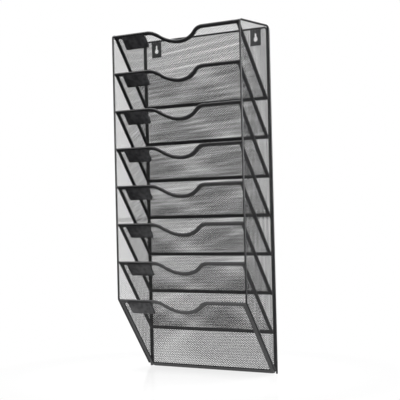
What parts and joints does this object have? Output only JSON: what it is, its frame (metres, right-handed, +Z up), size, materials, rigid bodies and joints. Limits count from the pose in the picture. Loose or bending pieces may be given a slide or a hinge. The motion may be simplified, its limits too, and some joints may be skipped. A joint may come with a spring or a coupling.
{
  "type": "hanging file rack",
  "caption": "Wall-hung black mesh file rack with sloping pockets one above the other, finger notches, label plates and keyhole hangers.",
  "frame": {"origin": "midway between the two keyholes' round parts, on the wall plane at the back of the hanger plates", "axes": "+Z up, +Y towards the wall, +X to the right seen from the front"},
  "size_m": [0.31, 0.112, 0.6889],
  "materials": {
    "frame_black": "satin black powder coat",
    "mesh_black": "satin black powder coat",
    "rim_black": "satin black powder coat",
    "plate_black": "matt black powder coat"
  },
  "bodies": {
    "root": {"side_frame_left": "frame_black", "side_frame_right": "frame_black", "back_frame": "frame_black", "foot_wire_left": "frame_black", "foot_wire_right": "frame_black", "side_mesh_upper_left": "mesh_black", "side_mesh_upper_right": "mesh_black", "side_mesh_lower_left": "mesh_black", "side_mesh_lower_right": "mesh_black", "back_mesh_upper": "mesh_black", "back_mesh_lower": "mesh_black", "hanger_left": "plate_black", "hanger_right": "plate_black", "pocket_mesh_1": "mesh_black", "pocket_mesh_2": "mesh_black", "pocket_mesh_3": "mesh_black", "pocket_mesh_4": "mesh_black", "pocket_mesh_5": "mesh_black", "pocket_mesh_6": "mesh_black", "pocket_mesh_7": "mesh_black", "pocket_mesh_8": "mesh_black", "pocket_rim_1": "rim_black", "pocket_rim_2": "rim_black", "pocket_rim_3": "rim_black", "pocket_rim_4": "rim_black", "pocket_rim_5": "rim_black", "pocket_rim_6": "rim_black", "pocket_rim_7": "rim_black", "pocket_rim_8": "rim_black", "pocket_hem_1": "rim_black", "pocket_hem_2": "rim_black", "pocket_hem_3": "rim_black", "pocket_hem_4": "rim_black", "pocket_hem_5": "rim_black", "pocket_hem_6": "rim_black", "pocket_hem_7": "rim_black", "pocket_hem_8": "rim_black", "label_plate_1": "plate_black", "label_plate_2": "plate_black", "label_plate_3": "plate_black", "label_plate_4": "plate_black", "label_plate_5": "plate_black", "label_plate_6": "plate_black", "label_plate_7": "plate_black", "label_plate_8": "plate_black"}
  },
  "joints": []
}
